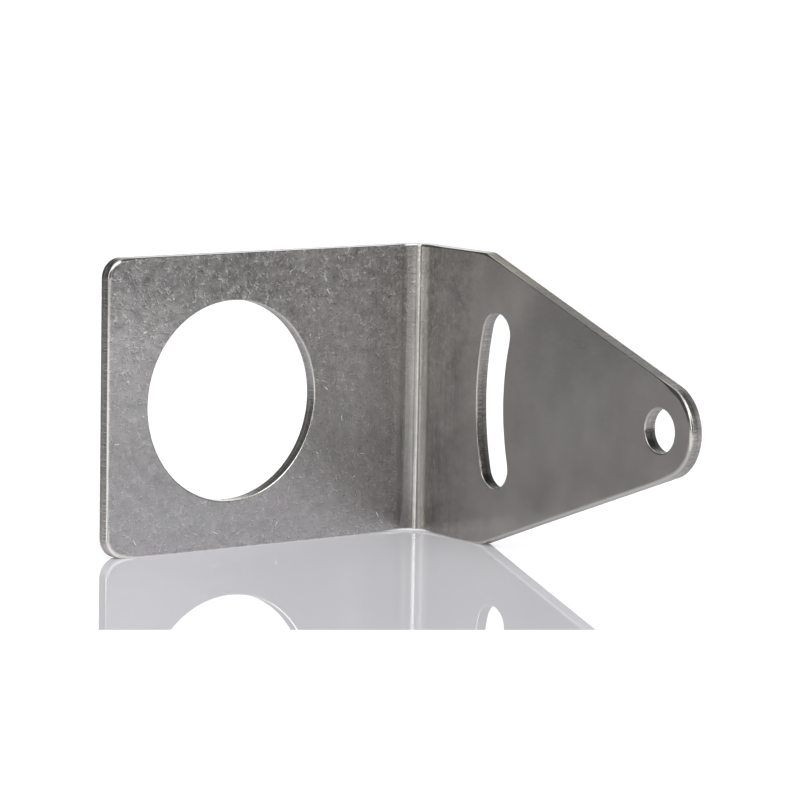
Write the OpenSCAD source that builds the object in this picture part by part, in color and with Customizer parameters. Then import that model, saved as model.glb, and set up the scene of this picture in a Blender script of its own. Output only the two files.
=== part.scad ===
// Sensor mounting bracket, in millimetres.
// It is one blank of stainless sheet, bent once to a right angle, and stands on its long edges.
// The bend stands along Z. The sensor flange runs from it along -X, and the pivot flange along -Y,
// so the inside of the corner faces -X and -Y.
// The origin is at floor level, under the middle of the bracket's box.

/* [Sheet] */
// Thickness of the sheet
sheet_t = 2; // [1.5:0.1:2.5]
// Inside radius of the bend
bend_r = 3; // [2:0.1:5]
// Height of both flanges, measured along the bend
bracket_h = 45; // [42:0.5:60]
// Height of the centre line that the holes and the slot share, above the lower edge
centre_z = 22.5; // [21:0.1:24]
// Width of the broken edge around the inside faces
edge_break = 0.25; // [0.1:0.05:0.4]

/* [Sensor flange] */
// Length of the sensor flange, from the outside of the bend to its free end
sensor_flange_l = 59.1; // [56:0.1:80]
// Radius of the two corners at its free end
corner_r = 3; // [1.5:0.1:8]
// Diameter of the hole for the sensor's barrel
sensor_hole_d = 30.5; // [16:0.5:34]
// Distance of that hole from the outside of the bend
sensor_hole_x = 36.7; // [26:0.1:39]

/* [Pivot flange] */
// Length of its full-height part, from the outside of the bend to the taper
straight_l = 19; // [14:0.1:30]
// Radius of the round end
end_r = 7.1; // [5.5:0.1:9]
// Diameter of the pivot hole, which has the same centre as the round end
pivot_hole_d = 6.6; // [4:0.1:8]
// Distance of the pivot hole from the outside of the bend
pivot_hole_x = 60.4; // [54:0.1:75]

/* [Slot] */
// Radius of the slot's centre line around the pivot hole
slot_r = 39.8; // [36:0.1:42]
// Width of the slot
slot_w = 6.5; // [4.5:0.1:8]
// Angle between the centres of the slot's two round ends, seen from the pivot hole
slot_angle = 29.7; // [16:0.1:34]

/* [Hidden] */
$fn = 96;
bend_outer_r = bend_r + sheet_t;
pivot_flange_l = pivot_hole_x + end_r;
sensor_centre = [sensor_hole_x, centre_z];
pivot_centre = [pivot_hole_x, centre_z];
// Shoulders, where the taper starts, and the directions of the two tapered edges
low_shoulder = [straight_l, 0];
top_shoulder = [straight_l, bracket_h];
low_taper = taper_angle(low_shoulder, -1);
top_taper = taper_angle(top_shoulder, 1);
// How far a cutting shape runs past the face that it cuts
over = 0.5;
// How far the broken edge of a rounded corner runs past the corner, over the straight one
lap = 0.15;
// How much deeper or wider a shape is where it would otherwise only graze its neighbour
graze = 0.001;

// Unit vector at an angle
function toward(angle) = [cos(angle), sin(angle)];

// Direction of the edge that leaves a shoulder and touches the round end, above it or below it
function taper_angle(shoulder, side) =
    let (way = pivot_centre - shoulder)
    atan2(way[1], way[0]) + side * asin(end_r / norm(way));

// Where a tapered edge runs into the round end, side being 1 above it and -1 below it
function taper_end(taper, side) = pivot_centre + (end_r - graze) * toward(taper + side * 90);

// A flange is drawn flat: x runs away from the outside of the bend, y is height, and the inside
// face is at the bottom of the extrusion. This stands it up along -X, with its outside on Y = 0.
module stand_up() {
    translate([0, -sheet_t, 0])
        rotate([90, 0, 180])
            children();
}

// Broken edge along a straight side, with the sheet on the left of the way from a to b. It runs
// past a and past b by the lengths given.
module break_line(a, b, past_a, past_b) {
    run = b - a;
    translate([a[0], a[1], 0])
        rotate([0, 0, atan2(run[1], run[0])])
            translate([-past_a, 0, 0])
                rotate([90, 0, 90])
                    linear_extrude(norm(run) + past_a + past_b)
                        polygon([[edge_break + over, -over], [-over, edge_break + over], [-over, -over]]);
}

// Broken edge along a rounded corner that curves out from its centre
module break_corner(centre, r, from, to) {
    past = atan(lap / r);
    translate([centre[0], centre[1], 0])
        rotate([0, 0, from - past])
            rotate_extrude(angle = to - from + 2 * past)
                polygon([[r - edge_break - over, -over], [r + over, edge_break + over], [r + over, -over]]);
}

// Round hole through the sheet
module round_hole(d) {
    translate([0, 0, -over])
        cylinder(h = sheet_t + 2 * over, d = d);
}

// Broken edge around a round hole
module break_hole(d) {
    translate([0, 0, -over])
        cylinder(h = edge_break + 2 * over, r1 = d / 2 + edge_break + over, r2 = d / 2 - over);
}

// Carries a cutting profile along the slot's centre line, which is an arc around the pivot hole
module along_slot() {
    rotate([0, 0, 180 - slot_angle / 2])
        rotate_extrude(angle = slot_angle)
            translate([slot_r, 0])
                children();
}

// Sets a shape at the centre of each of the slot's two round ends
module at_slot_ends() {
    for (side = [-1, 1])
        rotate([0, 0, 180 + side * slot_angle / 2])
            translate([slot_r, 0, 0])
                children();
}

// Curved slot with round ends
module curved_slot() {
    along_slot()
        translate([-slot_w / 2, -over])
            square([slot_w, sheet_t + 2 * over]);
    at_slot_ends()
        round_hole(slot_w + graze);
}

// Broken edge around the slot
module break_slot() {
    wide = slot_w / 2 + edge_break + over;
    narrow = slot_w / 2 - over;
    along_slot()
        polygon([[-wide, -over], [wide, -over], [narrow, edge_break + over], [-narrow, edge_break + over]]);
    at_slot_ends()
        break_hole(slot_w + graze);
}

// Rectangular plate with two rounded corners and the large hole
module sensor_flange() {
    in_x = sensor_flange_l - corner_r;
    low_y = corner_r;
    top_y = bracket_h - corner_r;
    difference() {
        linear_extrude(sheet_t) {
            polygon([
                [bend_outer_r, 0], [in_x, 0], [sensor_flange_l, low_y],
                [sensor_flange_l, top_y], [in_x, bracket_h], [bend_outer_r, bracket_h]
            ]);
            for (y = [low_y, top_y])
                translate([in_x, y])
                    circle(corner_r);
        }
        break_line([bend_outer_r, 0], [in_x, 0], over, -lap / 2);
        break_corner([in_x, low_y], corner_r, -90, 0);
        break_line([sensor_flange_l, low_y], [sensor_flange_l, top_y], -lap / 2, -lap / 2);
        break_corner([in_x, top_y], corner_r, 0, 90);
        break_line([in_x, bracket_h], [bend_outer_r, bracket_h], -lap / 2, over);
        translate(sensor_centre) {
            round_hole(sensor_hole_d);
            break_hole(sensor_hole_d);
        }
    }
}

// Tapered plate with a round end, the pivot hole and the curved slot, all with square edges
module pivot_blank() {
    difference() {
        linear_extrude(sheet_t) {
            polygon([
                [bend_outer_r, 0], low_shoulder, taper_end(low_taper, -1),
                taper_end(top_taper, 1), top_shoulder, [bend_outer_r, bracket_h]
            ]);
            translate(pivot_centre)
                circle(end_r);
        }
        translate(pivot_centre) {
            round_hole(pivot_hole_d);
            curved_slot();
        }
    }
}

// The same plate with its inside edges broken
module pivot_flange() {
    difference() {
        pivot_blank();
        break_line([bend_outer_r, 0], low_shoulder, over, over);
        break_line(low_shoulder, taper_end(low_taper, -1), over, -lap / 2);
        break_corner(pivot_centre, end_r, low_taper - 90, top_taper + 90);
        break_line(taper_end(top_taper, 1), top_shoulder, -lap / 2, over);
        break_line(top_shoulder, [bend_outer_r, bracket_h], over, over);
        translate(pivot_centre) {
            break_hole(pivot_hole_d);
            break_slot();
        }
    }
}

// Quarter turn of sheet between the flanges, with broken edges at its top and its bottom
module bend() {
    translate([-bend_outer_r, -bend_outer_r, 0])
        rotate_extrude(angle = 90)
            polygon([
                [bend_r, edge_break],
                [bend_r + edge_break, 0],
                [bend_outer_r, 0],
                [bend_outer_r, bracket_h],
                [bend_r + edge_break, bracket_h],
                [bend_r, bracket_h - edge_break]
            ]);
}

module bracket() {
    color("#94928e")
        translate([sensor_flange_l / 2, pivot_flange_l / 2, 0])
            union() {
                stand_up()
                    sensor_flange();
                mirror([1, -1, 0])
                    stand_up()
                        pivot_flange();
                bend();
            }
}

bracket();
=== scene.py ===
import math

import bpy
import numpy as np
from mathutils import Matrix, Vector


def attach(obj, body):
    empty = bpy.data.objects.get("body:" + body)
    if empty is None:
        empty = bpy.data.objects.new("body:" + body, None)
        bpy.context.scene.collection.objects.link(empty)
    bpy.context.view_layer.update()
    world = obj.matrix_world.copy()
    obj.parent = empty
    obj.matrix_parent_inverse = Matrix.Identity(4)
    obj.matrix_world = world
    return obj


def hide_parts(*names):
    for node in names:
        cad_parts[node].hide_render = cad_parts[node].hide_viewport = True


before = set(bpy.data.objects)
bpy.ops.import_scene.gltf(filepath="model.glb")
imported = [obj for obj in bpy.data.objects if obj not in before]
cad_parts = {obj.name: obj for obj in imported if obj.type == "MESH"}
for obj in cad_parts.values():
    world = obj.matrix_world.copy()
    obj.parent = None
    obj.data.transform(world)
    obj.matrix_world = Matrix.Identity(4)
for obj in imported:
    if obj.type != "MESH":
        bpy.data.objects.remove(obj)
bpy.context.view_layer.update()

# The blank. The bracket starts as one flat piece of 2 mm stainless sheet, with its outline, its
# two round holes and its curved slot punched out in the flat. It is laid out here in millimetres:
# s runs across the bend, from the sensor flange to the pivot flange, and z runs along the bend.
sheet_t = 2.0
bend_r = 3.0
bend_l = math.pi / 2 * (bend_r + sheet_t / 2)
bracket_h = 45.0
# The fold lifts the long edges beside it, so the blank keeps this far inside the full height.
rise = 0.12
low, top, mid = rise, bracket_h - rise, bracket_h / 2

sensor_end = -54.1
corner_r = 3.0
corner_s = sensor_end + corner_r
sensor_hole = np.array([-31.7, mid])
sensor_hole_r = 15.25

shoulder_r = 3.0
shoulder = bend_l + 14.0
pivot = np.array([bend_l + 55.4, mid])
pivot_hole_r = 3.3
end_r = 7.1
# The seam parts the pivot flange for the mesh alone: the slot is before it, the round end past it.
seam = bend_l + 34.0

slot_r = 39.8
slot_half_w = 3.25
slot_half_angle = math.radians(29.7 / 2)
slot_middle = pivot - [slot_r, 0]


def straight(a, b, step):
    """Points at even steps on the way from a to b, without b. The metal is on the left of the
    way, so the direction out of it is the way's own, turned 90 degrees to the right."""
    a, b = np.array(a, float), np.array(b, float)
    way = b - a
    share = np.arange(max(1, round(math.hypot(*way) / step)))
    points = a + way * (share / len(share))[:, None]
    out = np.array([way[1], -way[0]]) / math.hypot(*way)
    return points, np.broadcast_to(out, points.shape)


def rounded(centre, r, start, end, count):
    """Points on a circle from angle start to angle end, without the last. The metal is inside
    the circle, so the direction out of it is straight away from the centre."""
    angle = start + (end - start) * np.arange(count) / count
    out = np.stack([np.cos(angle), np.sin(angle)], 1)
    return centre + r * out, out


# The taper is the straight line that leaves the shoulder and touches the round end.
away = pivot - [shoulder, low]
slope = math.atan2(away[1], away[0]) - math.asin(end_r / math.hypot(*away))
touch = pivot + end_r * np.array([math.sin(slope), -math.cos(slope)])
cut_back = shoulder_r * math.tan(slope / 2)
shoulder_in = np.array([shoulder - cut_back, low])
shoulder_out = np.array([shoulder, low]) + cut_back * np.array([math.cos(slope), math.sin(slope)])
shoulder_centre = shoulder_in + [0, shoulder_r]
on_seam = np.array([seam, low + (seam - shoulder) * math.tan(slope)])


def flipped(p):
    """The same point on the upper half of the blank, which mirrors the lower half."""
    return np.array([p[0], 2 * mid - p[1]])


quarter_turn = math.pi / 2
bend_step, sensor_step, pivot_step, tip_step = 0.09, 1.0, 0.6, 0.8
corner_points, shoulder_points, tip_points = 14, 6, 48
outline_parts = {
    "bend_low": straight([0, low], [bend_l, low], bend_step),
    "pivot_low": straight([bend_l, low], shoulder_in, pivot_step),
    "shoulder_low": rounded(
        shoulder_centre, shoulder_r, -quarter_turn, slope - quarter_turn, shoulder_points
    ),
    "taper_low": straight(shoulder_out, on_seam, pivot_step),
    "tip_low": straight(on_seam, touch, tip_step),
    "tip": rounded(pivot, end_r, slope - quarter_turn, quarter_turn - slope, tip_points),
    "tip_top": straight(flipped(touch), flipped(on_seam), tip_step),
    "taper_top": straight(flipped(on_seam), flipped(shoulder_out), pivot_step),
    "shoulder_top": rounded(
        flipped(shoulder_centre), shoulder_r, quarter_turn - slope, quarter_turn, shoulder_points
    ),
    "pivot_top": straight(flipped(shoulder_in), [bend_l, top], pivot_step),
    "bend_top": straight([bend_l, top], [0, top], bend_step),
    "sensor_top": straight([0, top], [corner_s, top], sensor_step),
    "corner_top": rounded(
        [corner_s, top - corner_r], corner_r, quarter_turn, 2 * quarter_turn, corner_points
    ),
    "sensor_side": straight(
        [sensor_end, top - corner_r], [sensor_end, low + corner_r], sensor_step
    ),
    "corner_low": rounded(
        [corner_s, low + corner_r], corner_r, 2 * quarter_turn, 3 * quarter_turn, corner_points
    ),
    "sensor_low": straight([corner_s, low], [0, low], sensor_step),
}
outline = np.concatenate([points for points, _ in outline_parts.values()])
outline_out = np.concatenate([out for _, out in outline_parts.values()])
part_ends = np.cumsum([len(points) for points, _ in outline_parts.values()])
stretch = {
    name: (end - len(part[0]), end)
    for (name, part), end in zip(outline_parts.items(), part_ends)
}


def along(first, last):
    """Numbers of the outline's points from the start of one part to the end of another, both
    ends included, counted round past the first point where needed."""
    a, b = stretch[first][0], stretch[last][1]
    return np.arange(a, b + 1 if b > a else b + len(outline) + 1) % len(outline)


# The cut edges. A punch draws the sheet's inside face down into a soft shoulder, shears a bright
# land, then tears the rest of the thickness a little further in, and leaves a crisp edge on the
# outside face. The same profile is carried round the outline and every hole.
roll_w, roll_t = 0.42, 0.28
burr = 0.08
quarter = np.linspace(quarter_turn, 0, 11)
small = np.linspace(0, quarter_turn, 4)
# Inset and depth of five points: two on the land, one where it gives way, two on the torn part.
land_inset = [0, 0, 0.012, 0.03, 0.02]
land_depth = [0.7, 1.15, 1.2, 1.28, 1.7]
inset = np.concatenate([roll_w * (1 - np.cos(quarter)), land_inset, burr * (1 - np.cos(small))])
depth = np.concatenate(
    [roll_t * (1 - np.sin(quarter)), land_depth, sheet_t - burr * (1 - np.sin(small))]
)
on_roll = np.arange(len(inset)) < len(quarter)
profile_way = np.gradient(np.stack([-inset, depth], 1), axis=0)
profile_out = np.stack([profile_way[:, 1], -profile_way[:, 0]], 1)
profile_out /= np.linalg.norm(profile_out, axis=1)[:, None]
profile_out[0], profile_out[-1] = (0, -1), (0, 1)
# The profile's first point is on the inside face, and its last one on the outside face.
both_faces = (0, -1)

flat, facing, quads = [], [], []


def lay(s, z, n, out_s, out_z, out_n):
    """Puts points into the blank's table and returns their numbers, in the shape of the grid
    they came in. n is the depth below the inside face, and out is the way that they face."""
    s, z, n, out_s, out_z, out_n = np.broadcast_arrays(s, z, n, out_s, out_z, out_n)
    first = sum(len(f) for f in flat)
    flat.append(np.stack([s, z, n], -1).reshape(-1, 3))
    facing.append(np.stack([out_s, out_z, out_n], -1).reshape(-1, 3))
    return first + np.arange(s.size).reshape(s.shape)


def weave(grid):
    """Quads between the neighbours of a grid of point numbers."""
    corners = [grid[:-1, :-1], grid[1:, :-1], grid[1:, 1:], grid[:-1, 1:]]
    quads.append(np.stack(corners, -1).reshape(-1, 4))


def closed(grid):
    """The same grid with its first row again at its end."""
    return np.concatenate([grid, grid[:1]])


def cut_edge(path, out, softer):
    """A cut edge: each point of the path steps back from the edge by the profile's inset and
    sinks by its depth, and faces the way that the profile faces there. The soft shoulder is
    larger by the share softer, which is one number or one for each point of the path."""
    grown = 1 + np.broadcast_to(softer, len(path))[:, None] * on_roll
    back, down = inset * grown, depth * grown
    grid = lay(
        path[:, :1] - back * out[:, :1],
        path[:, 1:] - back * out[:, 1:],
        down,
        profile_out[:, 0] * out[:, :1],
        profile_out[:, 0] * out[:, 1:],
        profile_out[:, 1],
    )
    weave(closed(grid))
    return grid


# The sheet is drawn down further where the outline turns a corner, and less along most straight
# edges. The change from one to the other fades out over a short way past the corner.
softness = np.zeros(len(outline))
drawn_less = {
    "bend_low": -0.5, "pivot_low": -0.5, "pivot_top": -0.5, "sensor_top": -0.5,
    "sensor_low": -0.7, "taper_top": -0.7, "tip_top": -0.7,
}
for name, soft in drawn_less.items():
    softness[slice(*stretch[name])] = soft
steps = np.linalg.norm(np.roll(outline, -1, 0) - outline, axis=1)
way_round = np.cumsum(steps) - steps
drawn_further = {
    "corner_top": 0.9, "corner_low": 0.9, "tip": 0.75, "shoulder_low": 0.25, "shoulder_top": 0.0,
}
fade_l = 1.5
for name, soft in drawn_further.items():
    part = slice(*stretch[name])
    from_there = np.abs(way_round - way_round[part].mean())
    half = steps[part].sum() / 2
    softness += (soft - softness) * np.exp(-np.maximum(from_there - half, 0) / fade_l)
# Long and short waves keep the shoulder from being perfectly even. Around the top of the bend it
# has its plain size.
waver = 0.06 * np.sin(way_round * 1.9) * np.sin(way_round * 0.71 + 1)
waver += 0.05 * np.sin(way_round * 5.3)
past_bend = np.maximum(np.maximum(-outline[:, 0], outline[:, 0] - bend_l), 0)
near_bend = np.exp(-(past_bend / 2) ** 2) * (outline[:, 1] > mid)
rim = cut_edge(outline, outline_out, (softness + waver) * (1 - near_bend))

# The faces. The inside face and the outside face are the same lay-out at the two ends of the
# profile. Each is ruled from the rim of a hole to the border around it, and the narrow strip
# that becomes the bend is a plain grid between them.
rows = 60
height = np.linspace(0, 1, rows + 1)


def upright(numbers, s, side):
    """A line of points up the face at one s, between the two outline points given."""
    lower, upper = numbers
    zl, zu = outline[lower][1], outline[upper][1]
    back = inset[side]
    z = (zl + back) + (zu - zl - 2 * back) * height[1:-1]
    line = lay(s, z, depth[side], 0, 0, profile_out[side][1])
    return np.concatenate([[rim[lower, side]], line, [rim[upper, side]]])


def toward_circle(start, way, centre, r, far):
    """How far it is from a point along unit ways to a circle: the far or the near crossing."""
    reach = centre - start
    b = way @ reach
    root = np.sqrt(np.maximum(b * b - reach @ reach + r * r, 0))
    return b + root if far else b - root


def round_rim(centre, r, way):
    """Points of a round hole's rim in the given directions from its centre."""
    return centre + r * way, -way


def slot_rim(way):
    """Points of the slot's rim in the given directions from its middle. Its long sides are arcs
    around the pivot hole, and its ends are half circles between them."""
    angle = np.arctan2(way[:, 1], way[:, 0])
    back, up = -math.cos(slot_half_angle), math.sin(slot_half_angle)
    top_end, low_end = (pivot + slot_r * np.array([back, side * up]) for side in (1, -1))
    near, wide = slot_r - slot_half_w, slot_r + slot_half_w

    def joint(r):
        """The direction in which a long side of radius r meets the upper end."""
        p = pivot + r * np.array([back, up]) - slot_middle
        return math.atan2(p[1], p[0])

    on_near = np.abs(angle) <= joint(near)
    on_wide = np.abs(angle) >= joint(wide)
    upper = angle > 0
    length = np.select(
        [on_near, on_wide, upper],
        [
            toward_circle(slot_middle, way, pivot, near, False),
            toward_circle(slot_middle, way, pivot, wide, True),
            toward_circle(slot_middle, way, top_end, slot_half_w, True),
        ],
        toward_circle(slot_middle, way, low_end, slot_half_w, True),
    )
    points = slot_middle + length[:, None] * way
    end_centre = np.where(upper[:, None], top_end, low_end)
    out = points - np.where((on_near | on_wide)[:, None], pivot, end_centre)
    out /= np.linalg.norm(out, axis=1)[:, None]
    return points, np.where(on_near[:, None], out, -out)


def field(border_points, middle, rim_of, softer, borders):
    """A face with one hole. For each border point the hole's rim has a point in the same
    direction from its middle, and the face is ruled straight between the two. The shoulder of
    the hole's cut edge is larger by the share softer, or smaller where that is below zero."""
    way = border_points - middle
    way = way / np.linalg.norm(way, axis=1)[:, None]
    hole = cut_edge(*rim_of(way), softer)
    every = np.concatenate(flat)
    for side, border in borders:
        a, b = every[hole[:, side]], every[border]
        share = np.array([0.3, 0.6])[None, :, None]
        inner = a[:, None] * (1 - share) + b[:, None] * share
        rings = lay(inner[..., 0], inner[..., 1], depth[side], 0, 0, profile_out[side][1])
        weave(closed(np.concatenate([hole[:, side][:, None], rings, border[:, None]], 1)))


def level(p, q, s):
    """The points of a line up the face as the field's border needs them: between the outline
    points p and q, at even heights, without its ends."""
    z = outline[p][1] + (outline[q][1] - outline[p][1]) * height[1:-1]
    return np.stack([np.full(rows - 1, s), z], 1)


bend_start = (stretch["bend_low"][0], stretch["sensor_top"][0])
bend_end = (stretch["pivot_low"][0], stretch["bend_top"][0])
seam_ends = (stretch["tip_low"][0], stretch["taper_top"][0])
sensor_loop = along("sensor_top", "sensor_low")
slot_low, slot_top = along("pivot_low", "taper_low"), along("taper_top", "pivot_top")
tip_loop = along("tip_low", "tip_top")

at_start, at_end, at_seam = {}, {}, {}
for side in both_faces:
    at_start[side] = upright(bend_start, 0.0, side)
    at_end[side] = upright(bend_end, bend_l, side)
    at_seam[side] = upright(seam_ends, seam, side)

# The sensor flange, around the large hole
field(
    np.concatenate([outline[sensor_loop], level(*bend_start, 0.0)]),
    sensor_hole,
    lambda way: round_rim(sensor_hole, sensor_hole_r, way),
    -0.4,
    [(side, np.concatenate([rim[sensor_loop, side], at_start[side][1:-1]])) for side in both_faces],
)


def around_slot(side):
    """Numbers of the border points around the slot's part of the pivot flange, in order."""
    return np.concatenate([
        rim[slot_low, side], at_seam[side][1:-1], rim[slot_top, side], at_end[side][1:-1][::-1]
    ])


# The wide part of the pivot flange, around the slot
field(
    np.concatenate([
        outline[slot_low],
        level(*seam_ends, seam),
        outline[slot_top],
        level(*bend_end, bend_l)[::-1],
    ]),
    slot_middle,
    slot_rim,
    -0.5,
    [(side, around_slot(side)) for side in both_faces],
)
# The narrow part of the pivot flange, around the pivot hole
field(
    np.concatenate([outline[tip_loop], level(*seam_ends, seam)[::-1]]),
    pivot,
    lambda way: round_rim(pivot, pivot_hole_r, way),
    -0.5,
    [
        (side, np.concatenate([rim[tip_loop, side], at_seam[side][1:-1][::-1]]))
        for side in both_faces
    ],
)
# The strip that becomes the bend
across_low, across_top = along("bend_low", "bend_low"), along("bend_top", "bend_top")[::-1]
for side in both_faces:
    s = np.linspace(0, bend_l, len(across_low))[1:-1, None]
    z = (low + inset[side]) + (top - low - 2 * inset[side]) * height[1:-1]
    inner = lay(s, z, depth[side], 0, 0, profile_out[side][1])
    low_row, top_row = rim[across_low[1:-1], side], rim[across_top[1:-1], side]
    inner = np.concatenate([low_row[:, None], inner, top_row[:, None]], 1)
    weave(np.concatenate([at_start[side][None], inner, at_end[side][None]]))

# The bend. The blank is folded once to a right angle over the nose of a press tool, with the
# inside faces towards each other. The nose prints a narrow band with two fine edges along the
# inside, and at the fold both long edges stand a little higher than along the flanges.
axis = np.array([24.55, 28.75])
nose_edges = (3.05, 4.0)
groove_t, groove_w = 0.03, 0.12
swell_w = 3.4
lift_share = 2.6


def folded(s, z, n):
    """Where a point of the blank lies after the fold. Left of the bend it stays on the sensor
    flange. Inside it, it turns about the bend's axis in step with s, at the inside radius plus
    its depth. Right of it, it runs off along the pivot flange. The two edges of the nose are
    grooves with the form of a bell curve. The upper edge moves up by one rise times a bell curve
    around the fold. The lower one moves up by 2.6 rises times the fifth root of that curve, which
    is a wider one, and down by one rise, so that the fold stands clear of the floor and the
    flanges reach it."""
    inside = 1 - n / sheet_t
    grooves = 0
    for edge in nose_edges:
        grooves = grooves + groove_t * np.exp(-(((s - edge) / groove_w) ** 2))
    n = n + inside**3 * grooves
    turn = np.clip(s / bend_l, 0, 1) * quarter_turn
    fold = np.exp(-(((s - bend_l / 2) / swell_w) ** 2)) * (0.5 + 0.5 * inside)
    edge = ((z - mid) / (top - mid)) ** 9
    lift = rise * np.where(edge > 0, edge * fold, -edge * (lift_share * fold**0.2 - 1))
    x = axis[0] + (bend_r + n) * np.sin(turn) + np.minimum(s, 0)
    y = axis[1] + (bend_r + n) * np.cos(turn) - np.maximum(s - bend_l, 0)
    return np.stack([x, y, z + lift], -1)


flat, facing, quads = map(np.concatenate, (flat, facing, quads))
points = folded(*flat.T)
# A direction on the blank turns with the fold: the three ways that a small step in s, z or n
# moves a point give the surface's new facing, as the cross product of the other two. The sign is
# turned because s, z and n are a left-handed set.
tiny = 1e-4
along_s, along_z, along_n = (
    (folded(*(flat + step).T) - folded(*(flat - step).T)) / (2 * tiny) for step in np.eye(3) * tiny
)
normals = -(
    np.cross(along_z, along_n) * facing[:, :1]
    + np.cross(along_n, along_s) * facing[:, 1:2]
    + np.cross(along_s, along_z) * facing[:, 2:]
)
normals /= np.linalg.norm(normals, axis=1)[:, None]
a, b, c, d = (points[quads[:, i]] for i in range(4))
inward = np.einsum("ij,ij->i", np.cross(c - a, d - b), normals[quads].sum(1)) < 0
quads[inward] = quads[inward][:, ::-1]

mm = 1000
sheet = bpy.data.meshes.new("bent_sheet")
sheet.from_pydata((points / mm).tolist(), [], quads.tolist())
sheet.polygons.foreach_set("use_smooth", np.ones(len(quads), bool))
on_blank = sheet.attributes.new("blank", "FLOAT_VECTOR", "POINT")
on_blank.data.foreach_set("vector", flat.astype(np.float32).ravel())
sheet.normals_split_custom_set_from_vertices(normals.tolist())
bracket = bpy.data.objects.new("bent_bracket", sheet)
bpy.context.scene.collection.objects.link(bracket)
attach(bracket, "root")
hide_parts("bracket")

# The finish. Mill-finished stainless, tumbled after it was cut: the drum leaves a dull grey with
# curls and nicks in every direction, most of them high on the sensor flange, and polishes the soft
# shoulders of the edges, which are also painted lighter as a painted highlight. The sheared lands
# stay bright and the torn part of a cut edge is dull.
steel = bpy.data.materials.new("tumbled_stainless")
steel.use_nodes = True
shader = steel.node_tree.nodes["Principled BSDF"]
shader.inputs["Metallic"].default_value = 1.0


def node(kind, inputs=(), tree=steel.node_tree, **settings):
    """A node of the steel's material, or of another tree, with its settings, and with values or
    links put into its inputs by name or number."""
    made = tree.nodes.new(kind)
    for name, value in settings.items():
        setattr(made, name, value)
    for name, value in dict(inputs).items():
        if isinstance(value, bpy.types.NodeSocket):
            tree.links.new(value, made.inputs[name])
        else:
            made.inputs[name].default_value = value
    return made


def maths(operation, *values):
    """An operation on numbers or sockets, carried on from left to right."""
    total = values[0]
    for value in values[1:]:
        total = node("ShaderNodeMath", {0: total, 1: value}, operation=operation).outputs[0]
    return total


def plus(*values):
    """The sum of the values."""
    return maths("ADD", *values)


def minus(*values):
    """The first value less all the others."""
    return maths("SUBTRACT", *values)


def times(*values):
    """The product of the values."""
    return maths("MULTIPLY", *values)


def size_of(value):
    """A value without its sign."""
    return node("ShaderNodeMath", {0: value}, operation="ABSOLUTE").outputs[0]


def on_vectors(operation, *values):
    """An operation on vectors or on sockets that carry them."""
    return node("ShaderNodeVectorMath", dict(enumerate(values)), operation=operation).outputs[0]


def scaled(vector, factor):
    """A vector or colour times a number."""
    inputs = {0: vector, "Scale": factor}
    return node("ShaderNodeVectorMath", inputs, operation="SCALE").outputs[0]


def eased(value, low_end, high_end, at_low=0.0, at_high=1.0):
    """Goes smoothly from one number to another as the value crosses a range."""
    inputs = {
        "Value": value, "From Min": low_end, "From Max": high_end,
        "To Min": at_low, "To Max": at_high,
    }
    return node("ShaderNodeMapRange", inputs, interpolation_type="SMOOTHSTEP").outputs["Result"]


def steps_down(value, stops):
    """Goes straight from one number to the next between the given places from 0 to 1."""
    made = node("ShaderNodeValToRGB", {0: value})
    ramp = made.color_ramp.elements
    ramp.remove(ramp[1])
    for number, (position, tone) in enumerate(stops):
        stop = ramp[0] if number == 0 else ramp.new(position)
        stop.position, stop.color = position, (tone, tone, tone, 1)
    return made.outputs[0]


blank = node("ShaderNodeAttribute", attribute_name="blank").outputs["Vector"]
at_s, at_z, at_n = node("ShaderNodeSeparateXYZ", {0: blank}).outputs


def cloud(scale, detail=2.0, roughness=0.5, stretch=(1, 1, 1), shift=0.0):
    """Soft noise on the blank around 0, with so many lumps to a millimetre, drawn out by the
    stretch."""
    vector = on_vectors(
        "MULTIPLY_ADD", blank, tuple(scale / k for k in stretch), (shift, shift, shift)
    )
    inputs = {"Vector": vector, "Scale": 1.0, "Detail": detail, "Roughness": roughness}
    return minus(node("ShaderNodeTexNoise", inputs).outputs["Fac"], 0.5)


def curls(scale, width, shift):
    """Fine bent lines: where a noise crosses its middle value, within the width, and only in the
    places that a second noise picks out."""
    line = eased(size_of(cloud(scale, 1.5, 0.6, shift=shift)), 0, width, 1, 0)
    return times(line, eased(cloud(scale * 0.8, 2.0, 0.6, shift=shift + 40), 0.02, 0.1))


def nicks(size, length, width, share, seed):
    """Short straight marks in every direction. Each cell of a random pattern has one, through
    the cell's own point and at its own angle: it is bright within half its width and length of
    that point. Only the given share of the cells has one, each as deep as its random number."""
    shifted = on_vectors("ADD", blank, (seed, seed * 2.3, 0))
    in_cells = on_vectors("MULTIPLY", shifted, (1 / size, 1 / size, 3))
    inputs = {"Vector": in_cells, "Scale": 1.0}
    cells = node("ShaderNodeTexVoronoi", inputs, voronoi_dimensions="2D")
    offset = on_vectors("SUBTRACT", in_cells, cells.outputs["Position"])
    chance = node("ShaderNodeSeparateColor", {0: cells.outputs["Color"]}).outputs
    angle = times(chance[0], 2 * math.pi)
    inputs = {"Vector": offset, "Angle": angle}
    turned = node("ShaderNodeVectorRotate", inputs, rotation_type="Z_AXIS").outputs[0]
    lengthwise, across, _ = node("ShaderNodeSeparateXYZ", {0: turned}).outputs
    bow = times(lengthwise, lengthwise, minus(chance[2], 0.5))
    in_width = eased(size_of(plus(across, bow)), 0, width / size, 1, 0)
    in_length = eased(size_of(lengthwise), 0.3 * length / size, length / size, 1, 0)
    picked = maths("LESS_THAN", chance[1], share)
    return times(in_width, in_length, picked, eased(chance[2], 0, 1, 0.3, 1))


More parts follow.
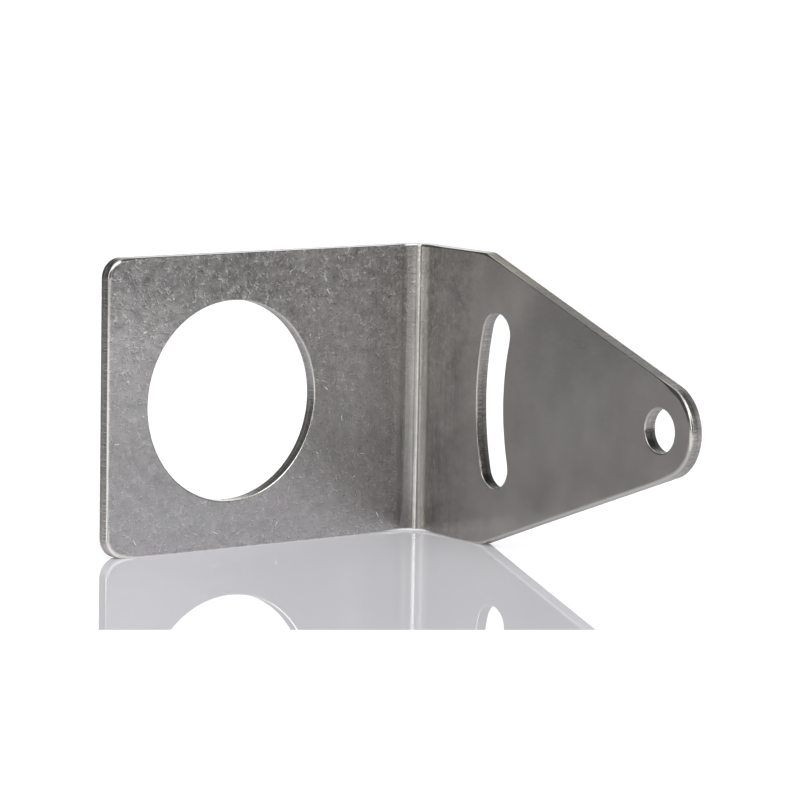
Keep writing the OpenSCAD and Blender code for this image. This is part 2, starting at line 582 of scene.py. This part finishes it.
# Where a point is: on which flange, on a face or in a cut edge, and how far through the sheet.
on_sensor = eased(at_s, -2.0, 1.5, 1, 0)
off_sensor = minus(1.0, on_sensor)
through = maths("DIVIDE", at_n, sheet_t)
on_face = steps_down(through, [(0, 1), (0.01, 1), (0.03, 0), (0.97, 0), (0.99, 1), (1, 1)])
on_inside = steps_down(through, [(0, 1), (0.01, 1), (0.03, 0), (1, 0)])
in_cut = minus(1.0, on_face)
sheared = steps_down(through, [(0, 0), (0.14, 0), (0.17, 1), (0.96, 1), (0.985, 0), (1, 0)])
upper = eased(at_z, 27, 29)
from_middle = size_of(minus(at_z, mid))

# Marks of the drum. They are densest high up on the sensor flange, and few past the bend.
patches = cloud(0.13, 3.0, 0.6)
smears = cloud(0.16, 1.0, 0.4, (1, 1.6, 1), 71)
high_up = eased(plus(at_z, times(patches, 60)), 18, 42)
tumbled = times(
    plus(0.48, times(high_up, 0.52)),
    plus(0.12, times(on_sensor, 0.38), eased(at_s, 8, 24, 0.5, 0)),
)
mottle = cloud(1.5, 2.0, 0.65)
coarse = cloud(0.5, 2.0, 0.6, shift=9)
fine = cloud(4.2, 1.0, 0.5, shift=17)
curled = plus(curls(1.15, 0.085, 5), curls(0.7, 0.05, 21))
pricks = nicks(0.85, 0.2, 0.13, 0.4, 3.1)
short_nicks = nicks(1.7, 0.5, 0.1, 0.45, 11.7)
long_nicks = nicks(5.0, 0.65, 0.12, 0.35, 27.4)
drum_marks = plus(times(curled, 0.55), times(pricks, 0.8), short_nicks)
marks_and_glints = times(plus(times(drum_marks, tumbled), times(long_nicks, 1.4, on_sensor)), on_face)

# Lines along the bend, rubbed into the sheet on both sides of it by the press tool.
rub_from, rub_w = -14, 34
rubbed = steps_down(
    maths("DIVIDE", minus(at_s, rub_from), rub_w),
    [(0, 0), (0.2, 0.25), (0.41, 1), (0.6, 1), (0.85, 0.3), (1, 0)],
)
grain = plus(cloud(2.4, 2.0, 0.55, (1, 24, 1)), cloud(0.8, 2.0, 0.55, (1, 12, 1), 33))

face_tone = plus(
    times(mottle, tumbled, 0.75),
    times(coarse, tumbled),
    times(fine, plus(0.3, times(on_sensor, 0.8)), 0.4),
    times(grain, rubbed, 0.5),
    times(patches, 0.25),
    times(coarse, 0.05),
    times(smears, off_sensor, 0.35),
)
# The marks of the drum are painted lighter in the colour: partly their own fresher metal, partly
# painted glints.
lighter = plus(
    times(face_tone, on_face),
    times(marks_and_glints, 0.72),
    times(cloud(4.0, 2.0, 0.6, (1, 1, 14)), sheared),
    times(cloud(1.6, 2.0, 0.6), sheared, 0.6),
)

# Across the bend the inside face is painted in bands: painted shade over the first half of the bend
# and just beside it, darker lines at the two edges of the press tool's nose, and painted highlights
# between and past them. Down through a cut edge the soft shoulder is painted lighter as a painted
# highlight, and it is darker where the shoulder meets the land and where the land meets the torn
# part.
bend_light_stops = [
    (-3, 1), (-0.6, 1), (-0.1, 0.85), (0.3, 0.74), (1.0, 0.66), (1.7, 0.56), (2.2, 0.64),
    (2.7, 0.84), (2.85, 0.85), (3.05, 0.55), (3.25, 0.75), (3.5, 0.72), (3.65, 1.1), (3.78, 1.1),
    (3.92, 0.6), (4.1, 0.7), (4.35, 1.3), (4.7, 1.15), (4.85, 0.98), (6.1, 1.1), (6.5, 0.9),
    (7.1, 1), (9, 1),
]
lines_from, lines_w = -3, 12
bend_painted_tone = steps_down(
    maths("DIVIDE", minus(at_s, lines_from), lines_w),
    [((s - lines_from) / lines_w, tone) for s, tone in bend_light_stops],
)
bend_painted_light = plus(times(minus(bend_painted_tone, 1.0), on_inside), 1.0)
shoulder_highlight_stops = [
    (0, 1), (0.01, 1), (0.03, 1.5), (0.11, 1.5), (0.15, 0.9), (0.18, 0.97), (0.56, 0.95),
    (0.6, 0.75), (0.65, 0.9), (0.97, 0.9), (1, 1),
]
shoulder_highlight_and_edge_lines = steps_down(through, shoulder_highlight_stops)

# Some cut edges are painted darker or lighter: the slot's is darker towards its lower end as
# painted shade and lighter high up as a painted highlight, the pivot hole's is darker on its low
# side as painted shade, and the taper's is darker towards the inside face as painted shade, which
# takes back much of the shoulder's painted highlight there. The round end is painted lighter in its
# upper part as a painted highlight.
pivot_s = pivot[0]
in_slot = times(
    eased(at_s, bend_l + 9, bend_l + 10),
    eased(at_s, seam - 14, seam - 13, 1, 0),
    eased(from_middle, 17, 18, 1, 0),
)
slot_painted_light = times(in_slot, plus(eased(at_z, 9, 20, -0.7, -0.2), eased(at_z, 20, 32, 0, 0.25)))
in_pivot_hole = times(
    eased(at_s, pivot_s - 4.5, pivot_s - 4),
    eased(at_s, pivot_s + 3.6, pivot_s + 4, 1, 0),
    eased(from_middle, 4, 4.5, 1, 0),
)
pivot_hole_painted_shade = times(in_pivot_hole, eased(at_z, 18.6, 20), eased(at_z, 21.5, 23.2, -0.5, 0))
tip_painted_highlight = times(eased(at_s, pivot_s + 4, pivot_s + 5), eased(at_z, 20.5, 23.5, 0, 0.4))
on_taper = times(
    eased(at_s, seam - 14, seam - 6), eased(at_s, pivot_s - 2, pivot_s + 1, 1, 0), upper
)
taper_shade_stops = [
    (0, 0), (0.01, 0), (0.03, 0.5), (0.13, 0.5), (0.18, 0.3), (0.5, 0.28), (0.65, 0.15),
    (0.97, 0), (1, 0),
]
taper_painted_shade = times(on_taper, steps_down(through, taper_shade_stops))
edge_painted_light = minus(plus(1.0, times(plus(slot_painted_light, pivot_hole_painted_shade, tip_painted_highlight), sheared)), taper_painted_shade)

# Broad painted light: the sensor flange is painted lighter low down, as light from the floor, and
# darker high up beside the bend, as painted shade; the pivot flange is painted darker as painted
# shade, on its faces most of all beside the bend.
low_painted_light = eased(at_z, 2, 16, 0.3, 0)
high_shade = times(eased(at_z, 32, 42, 0, -0.26), eased(at_s, -30, -14, 1, 0))
sensor_painted_light = times(plus(low_painted_light, high_shade), on_sensor)
pivot_face_painted_light = plus(eased(at_s, 5.5, 8.5, 0, -0.1), eased(at_s, 13, 20, 0, 0.17))
pivot_painted_light = plus(eased(at_s, 5.5, 8.5, 0, -0.15), times(pivot_face_painted_light, on_face))
brightness = plus(1.0, lighter, sensor_painted_light, pivot_painted_light)
shade = times(brightness, bend_painted_light, shoulder_highlight_and_edge_lines, edge_painted_light)

# The grey drifts a little between pink and green. A thin brown film lies on all but the sensor
# flange's faces, and it is thickest on the upper taper next to the shoulder.
steel_grey = (0.471, 0.46, 0.4595)
drift = scaled((0.05, 0.0, 0.03), cloud(0.25, 2.0, 0.5, shift=60))
taper_film = times(
    in_cut,
    upper,
    minus(1.0, in_slot),
    eased(at_s, shoulder - 4, shoulder),
    eased(at_s, shoulder, seam + 10, 1.8, 0),
)
film = scaled((0.004, 0.0, -0.025), plus(minus(1.0, times(on_sensor, on_face)), taper_film))
tint = on_vectors("ADD", on_vectors("ADD", steel_grey, drift), film)
steel.node_tree.links.new(scaled(tint, shade), shader.inputs["Base Color"])

# How dull it is down through a cut edge: face, soft shoulder, land, torn part, face. On the faces
# the mottle is duller, and the marks and the pivot flange are glossier.
dull_stops = [
    (0.0, 0.29), (0.01, 0.2), (0.05, 0.15), (0.14, 0.17), (0.17, 0.24), (0.57, 0.26),
    (0.61, 0.36), (0.95, 0.34), (0.99, 0.24), (1.0, 0.29),
]
face_dull = minus(times(mottle, tumbled, 0.25), times(marks_and_glints, 0.08), times(off_sensor, 0.07))
dull = plus(steps_down(through, dull_stops), times(face_dull, on_face))
steel.node_tree.links.new(dull, shader.inputs["Roughness"])

# Relief: mottle and nicks on the faces, and fine lines through the thickness on the cut edges.
relief = plus(
    times(mottle, tumbled, on_face, 0.65),
    times(marks_and_glints, -0.5),
    times(cloud(3.5, 2.0, 0.6, (1, 1, 14)), sheared, 0.9),
    times(cloud(1.3, 2.0, 0.5), in_cut, 0.35),
)
bump = node("ShaderNodeBump", {"Height": relief, "Strength": 0.6, "Distance": 0.0001})
steel.node_tree.links.new(bump.outputs[0], shader.inputs["Normal"])
sheet.materials.append(steel)

# The studio. The bracket stands near the front edge of a polished white plate, which lies on a
# lit white table in front of a white wall. All of it is laid out in metres.
edge_way = Vector((0.85256, -0.52263, 0))
edge_out = Vector((0.52263, 0.85256, 0))
edge_at = edge_out * -0.04465
lamp_at = edge_out * -0.05
lamp_near, lamp_far = 0.13, 0.3
half_span = 6


def ground(name, nearest, farthest, colour, roughness, glow):
    """A level stretch of floor as wide as the studio, between two distances from the plate's
    front edge. A lamp below lights it from within around the bracket: its glow falls to nothing
    along a soft step in the distance from a point just in front of the bracket."""
    left, right = -edge_way * half_span, edge_way * half_span
    near, far = edge_at + edge_out * nearest, edge_at + edge_out * farthest
    corners = [near + left, near + right, far + right, far + left]
    mesh = bpy.data.meshes.new(name)
    mesh.from_pydata([tuple(c) for c in corners], [], [(0, 1, 2, 3)])
    white = bpy.data.materials.new(name)
    white.use_nodes = True
    tree = white.node_tree
    gloss = tree.nodes["Principled BSDF"]
    gloss.inputs["Base Color"].default_value = colour
    gloss.inputs["Roughness"].default_value = roughness
    gloss.inputs["Emission Color"].default_value = (1, 1, 1, 1)
    here = node("ShaderNodeTexCoord", tree=tree).outputs["Object"]
    apart = node("ShaderNodeVectorMath", {0: here, 1: lamp_at}, tree, operation="DISTANCE")
    inputs = {
        "Value": apart.outputs["Value"], "From Min": lamp_near, "From Max": lamp_far,
        "To Min": glow, "To Max": 0,
    }
    fade = node("ShaderNodeMapRange", inputs, tree, interpolation_type="SMOOTHSTEP")
    tree.links.new(fade.outputs["Result"], gloss.inputs["Emission Strength"])
    mesh.materials.append(white)
    floor = bpy.data.objects.new(name, mesh)
    bpy.context.scene.collection.objects.link(floor)


ground("polished_plate", 0.0, half_span, (0.785, 0.78, 0.83, 1), 0.0, 0.095)
ground("white_table", -half_span, 0.0, (0.85, 0.85, 0.85, 1), 0.9, 0.45)

# The wall behind the bracket is bright at the height of the bracket and dark above it, and the
# rest of the room is dim. What the camera sees directly is a white backdrop.
room_glow, wall_glow, backdrop_glow = 0.1, 1.5, 1.2
world = bpy.data.worlds.new("studio")
bpy.context.scene.world = world
world.use_nodes = True
air = world.node_tree
sight = node("ShaderNodeTexCoord", tree=air).outputs["Generated"]
toward_wall = node(
    "ShaderNodeVectorMath", {0: sight, 1: (0.6, 0.8, 0)}, air, operation="DOT_PRODUCT"
).outputs["Value"]
upward = node("ShaderNodeSeparateXYZ", {0: sight}, air).outputs[2]
wall_share = node(
    "ShaderNodeMapRange",
    {"Value": toward_wall, "From Min": 0.35, "From Max": 0.8},
    air,
    interpolation_type="SMOOTHSTEP",
).outputs[0]
wall_light = node(
    "ShaderNodeMapRange",
    {"Value": upward, "From Min": 0.15, "From Max": 0.5, "To Min": wall_glow, "To Max": 0.0},
    air,
    interpolation_type="SMOOTHSTEP",
).outputs[0]
seen = node("ShaderNodeLightPath", tree=air).outputs["Is Camera Ray"]
room = {0: wall_share, 1: wall_light, 2: room_glow}
room_light = node("ShaderNodeMath", room, air, operation="MULTIPLY_ADD").outputs[0]
backdrop = {0: seen, 1: backdrop_glow, 2: room_light}
all_light = node("ShaderNodeMath", backdrop, air, operation="MULTIPLY_ADD").outputs[0]
air.links.new(all_light, air.nodes["Background"].inputs["Strength"])
air.nodes["Background"].inputs["Color"].default_value = (1, 1, 1, 1)

bracket_middle = Vector((0, 0, 0.02))


def softbox(name, azimuth, elevation, width, height, brightness):
    """A flat white light one metre away that faces the bracket, at an azimuth from +Y towards
    +X, in degrees. Its power is its area times pi times how bright its surface looks."""
    lamp = bpy.data.lights.new(name, "AREA")
    lamp.shape, lamp.size, lamp.size_y = "RECTANGLE", width, height
    lamp.energy = width * height * math.pi * brightness
    stand = bpy.data.objects.new(name, lamp)
    a, e = math.radians(azimuth), math.radians(elevation)
    way = Vector((math.sin(a) * math.cos(e), math.cos(a) * math.cos(e), math.sin(e)))
    stand.location = bracket_middle + way
    stand.rotation_mode, stand.rotation_quaternion = "QUATERNION", way.to_track_quat("Z", "Y")
    bpy.context.scene.collection.objects.link(stand)


softbox("left_softbox", -120, 45, 0.6, 0.6, 0.95)
softbox("low_left_softbox", -115, 14, 0.25, 0.5, 2.9)
softbox("low_front_softbox", -170, 12, 0.25, 0.4, 0.6)
softbox("camera_softbox", -143, 45, 0.7, 0.7, 1.4)
softbox("front_softbox", 180, 45, 0.6, 0.6, 2.5)
softbox("overhead_softbox", 37, 88, 1.0, 1.0, 1.04)
softbox("back_softbox", 48, 37, 0.6, 0.4, 0.55)
softbox("right_softbox", 155, 22, 0.5, 0.35, 1.1)

# The camera looks slightly down into the corner from a long way off. Its place, and the ways of
# the picture's right, down and forward, are given in the bracket's frame.
camera_data = bpy.data.cameras.new("camera")
camera_data.sensor_width = 36
camera_data.lens = 188.08
camera_data.clip_start, camera_data.clip_end = 0.01, 20
camera = bpy.data.objects.new("camera", camera_data)
right = np.array([0.7987028, -0.60146507, 0.01770904])
down = np.array([-0.06264012, -0.11238009, -0.99168893])
forward = np.array([0.59845639, 0.79095543, -0.12743414])
pose = np.eye(4)
pose[:3, 0], pose[:3, 1], pose[:3, 2] = right, -down, -forward
pose[:3, 3] = (-0.36438158, -0.4822691, 0.10343305)
camera.matrix_world = Matrix(pose.tolist())
bpy.context.scene.collection.objects.link(camera)
bpy.context.scene.camera = camera
bpy.context.scene.view_settings.view_transform = "Standard"
